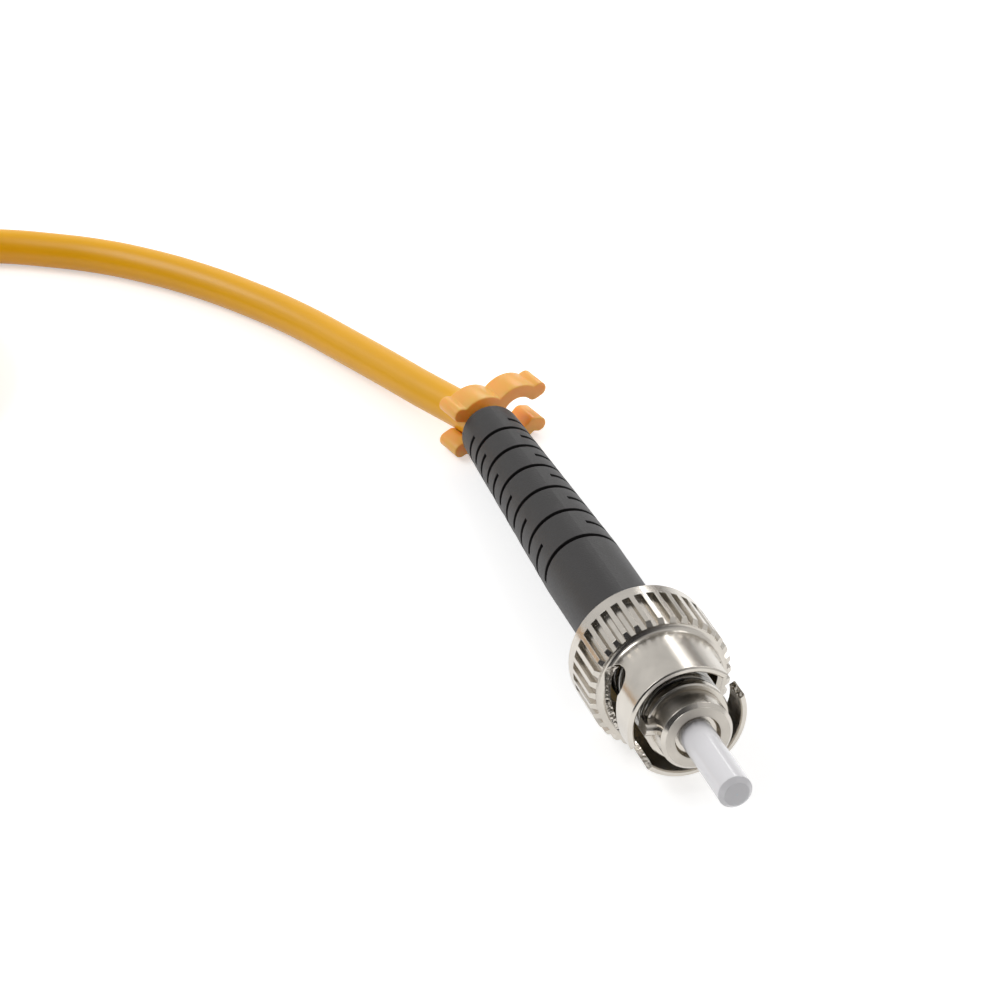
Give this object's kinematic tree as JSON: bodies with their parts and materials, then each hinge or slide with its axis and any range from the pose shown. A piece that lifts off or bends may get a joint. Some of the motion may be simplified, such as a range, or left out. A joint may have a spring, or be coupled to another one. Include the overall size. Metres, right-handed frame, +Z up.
{
  "type": "st fibre connector",
  "caption": "Bayonet fibre-optic connector with ceramic ferrule, sprung fluted nut, slotted boot and coiled cord tail.",
  "frame": {"origin": "centre of the base of the box round the connector as it lies, without its cord and clip", "axes": "+X towards the nose, which points slightly up; +Z up; +Y to the left seen from behind the connector"},
  "size_m": [0.1024, 0.0767, 0.011],
  "materials": {
    "zirconia": "polished white zirconia",
    "glass": "clear glass fibre",
    "nickel_plate": "nickel-plated turned brass with fine turning marks",
    "spring_steel": "bright spring steel",
    "washer_brass": "plain brass",
    "buffer_plastic": "tight buffer",
    "guide_plastic": "soft white tube",
    "yarn": "aramid yarn",
    "boot_rubber": "matt moulded elastomer",
    "cord_jacket": "satin flexible jacket",
    "clip_plastic": "translucent amber moulding"
  },
  "bodies": {
    "connector": {"ferrule": "zirconia", "fibre": "glass", "buffer_tube": "buffer_plastic", "ferrule_holder": "nickel_plate", "barrel": "nickel_plate", "guide_tube": "guide_plastic", "spring": "spring_steel", "retaining_ring": "spring_steel", "aramid_yarn": "yarn", "crimp_sleeve": "nickel_plate", "boot": "boot_rubber", "cord_jacket": "cord_jacket", "cord_coil": "cord_jacket", "duplex_clip": "clip_plastic"},
    "slider": {"thrust_washer": "washer_brass"},
    "nut": {"coupling_nut": "nickel_plate"}
  },
  "joints": [
    {"name": "nut_slide", "type": "slide", "parent": "connector", "child": "slider", "axis": [0.9977, 0, 0.0674], "range_m": [0, 0.0023], "stiffness_N_per_m": 900, "springref_m": -0.002, "deforming": ["spring"]},
    {"name": "nut_spin", "type": "hinge", "parent": "slider", "child": "nut", "pos_m": [0.01816, 0, 0.00603], "axis": [0.9977, 0, 0.0674], "continuous": true}
  ]
}
